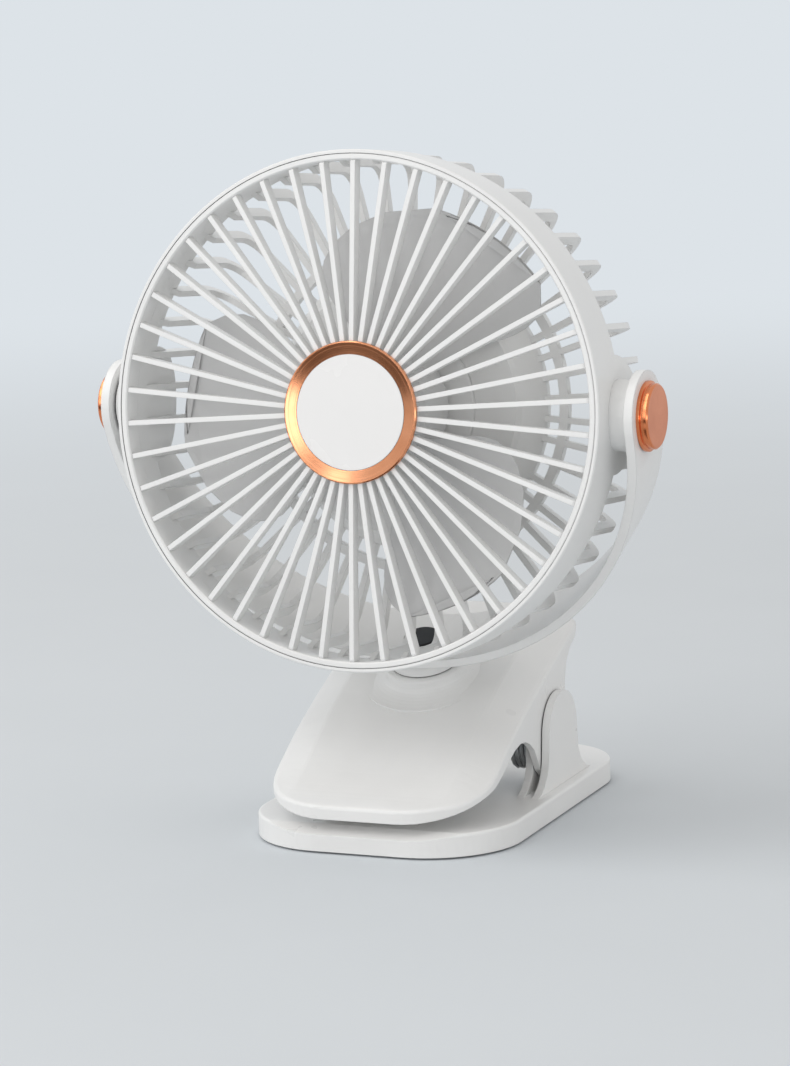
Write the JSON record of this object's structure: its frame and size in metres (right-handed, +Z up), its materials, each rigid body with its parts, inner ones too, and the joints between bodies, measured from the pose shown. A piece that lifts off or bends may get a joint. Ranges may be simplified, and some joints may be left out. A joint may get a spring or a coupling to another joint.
{
  "type": "clip-on camping fan",
  "caption": "Portable camping fan: a round grille head with copper accents tilts in a U-shaped yoke that swivels on a spring clip with a flat underside.",
  "frame": {"origin": "centre of the flat underside, on the surface that the fan stands on", "axes": "+Z up, the air blows towards -Y and the clip opens towards -Y, +X to the right as seen from the front"},
  "size_m": [0.1914, 0.138, 0.2261],
  "materials": {
    "badge": "smooth white plate",
    "battery": "blue shrink wrap",
    "board": "green solder mask",
    "bronze": "sintered bronze",
    "button": "light grey silicone",
    "copper": "copper-coloured metallic coating",
    "dark": "matt black nylon",
    "lens": "clear light pipe",
    "nutsteel": "zinc-plated steel",
    "pad": "matt light grey silicone rubber",
    "rotor": "light grey ABS",
    "rubber": "matt black rubber",
    "spring": "bright spring steel",
    "steel": "zinc-plated steel",
    "white": "satin moulded ABS, white"
  },
  "bodies": {
    "base": {"lower_jaw": "white", "foot_pad": "rubber", "lower_grip_pad": "pad", "hinge_pin": "steel", "clip_springs": "spring"},
    "clip": {"body_shell": "white", "bottom_cover": "white", "upper_grip_pad": "pad", "battery_pack": "battery", "circuit_board": "board", "charging_socket": "steel", "indicator_lens": "lens", "button_switch": "dark", "body_screws": "steel", "swivel_washer": "dark", "swivel_nut": "steel"},
    "button": {"power_button": "button"},
    "yoke": {"yoke": "white", "swivel_post": "white", "swivel_plug": "dark", "left_pivot_cap": "copper", "right_pivot_cap": "copper", "pivot_screws": "steel", "friction_washers": "dark"},
    "head": {"rear_housing": "white", "front_grille": "white", "badge_ring": "copper", "badge_disc": "badge", "motor_cover": "white", "motor_cover_screws": "steel", "motor_can": "steel", "motor_bushing": "bronze"},
    "fan": {"fan_rotor": "rotor", "motor_shaft": "steel", "rotor_nut": "nutsteel"}
  },
  "joints": [
    {"name": "clip_hinge", "type": "hinge", "parent": "base", "child": "clip", "pos_m": [0, 0.0123, 0.019], "axis": [-1, 0, 0], "range_deg": [0, 35], "stiffness_Nm_per_rad": 0.9, "springref_deg": -34.38, "deforming": ["clip_springs"]},
    {"name": "yoke_swivel", "type": "hinge", "parent": "clip", "child": "yoke", "pos_m": [0, -0.041, 0.14137], "axis": [0, -0.3681, 0.9298], "range_deg": [-170, 170]},
    {"name": "head_tilt", "type": "hinge", "parent": "yoke", "child": "head", "pos_m": [0, -0.041, 0.14137], "axis": [1, 0, 0], "range_deg": [-90, 180]},
    {"name": "fan_spin", "type": "hinge", "parent": "head", "child": "fan", "pos_m": [0, -0.041, 0.14137], "axis": [0, 0.9959, -0.0906], "continuous": true},
    {"name": "button_press", "type": "slide", "parent": "clip", "child": "button", "axis": [0, -1, 0], "range_m": [0, 0.0008], "stiffness_N_per_m": 1200, "springref_m": -0.0004}
  ]
}
